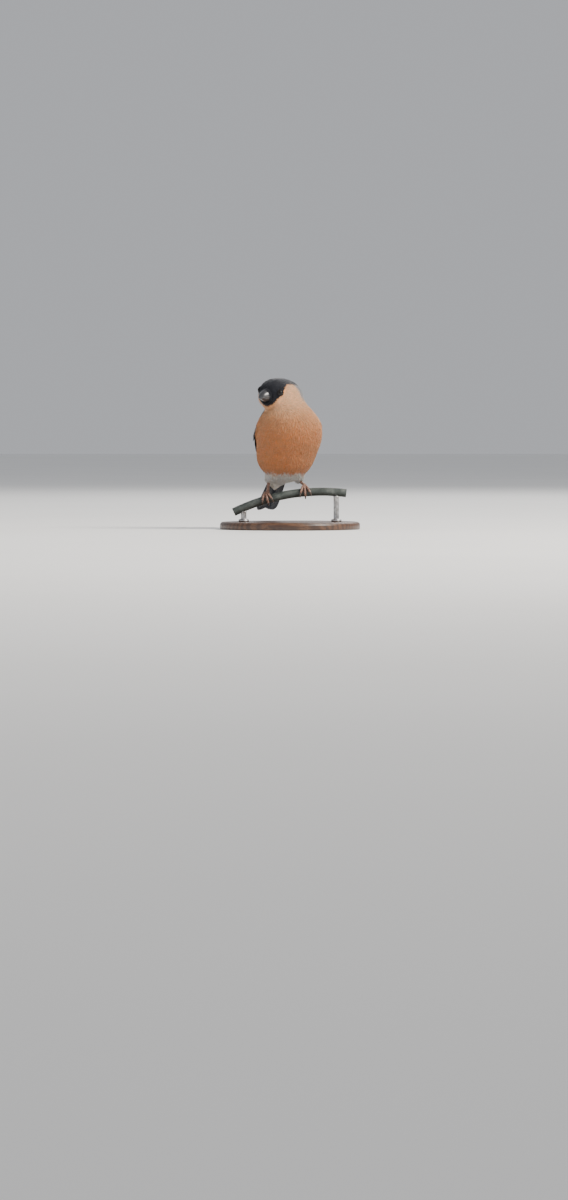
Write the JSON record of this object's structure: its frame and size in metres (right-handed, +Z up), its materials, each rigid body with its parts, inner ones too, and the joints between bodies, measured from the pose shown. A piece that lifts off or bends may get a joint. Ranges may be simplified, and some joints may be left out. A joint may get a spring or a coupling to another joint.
{
  "type": "bullfinch",
  "caption": "Life-size male bullfinch standing on a short bent steel rod, head turned to its right, on a round display stand.",
  "frame": {"origin": "middle of the underside of the stand's round base, on the floor", "axes": "+Z up; -Y towards the side that the picture shows; +X to the right in the picture, which is the bird's left"},
  "size_m": [0.112, 0.1272, 0.1206],
  "materials": {
    "breast_feather": "soft matt feathers",
    "black_feather": "glossy blue-black feathers",
    "grey_feather": "soft matt feathers",
    "white_feather": "soft matt feathers",
    "bill": "glossy horn",
    "eye": "wet gloss",
    "leg_skin": "dry scaled skin",
    "claw": "smooth horn",
    "rod_steel": "weathered paint",
    "stand_wood": "satin varnish",
    "stand_steel": "brushed"
  },
  "bodies": {
    "root": {"bill_lower": "bill", "bill_upper": "bill", "eye_left": "eye", "eye_right": "eye", "foot_left": "leg_skin", "foot_right": "leg_skin", "head": "black_feather", "neck": "breast_feather", "perch_rod": "rod_steel", "stand_base": "stand_wood", "stand_post_left": "stand_steel", "stand_post_right": "stand_steel", "tail": "black_feather", "tarsus_left": "leg_skin", "tarsus_right": "leg_skin", "thigh_left": "white_feather", "thigh_right": "white_feather", "torso": "breast_feather", "wing_left": "black_feather", "wing_right": "black_feather"}
  },
  "joints": []
}
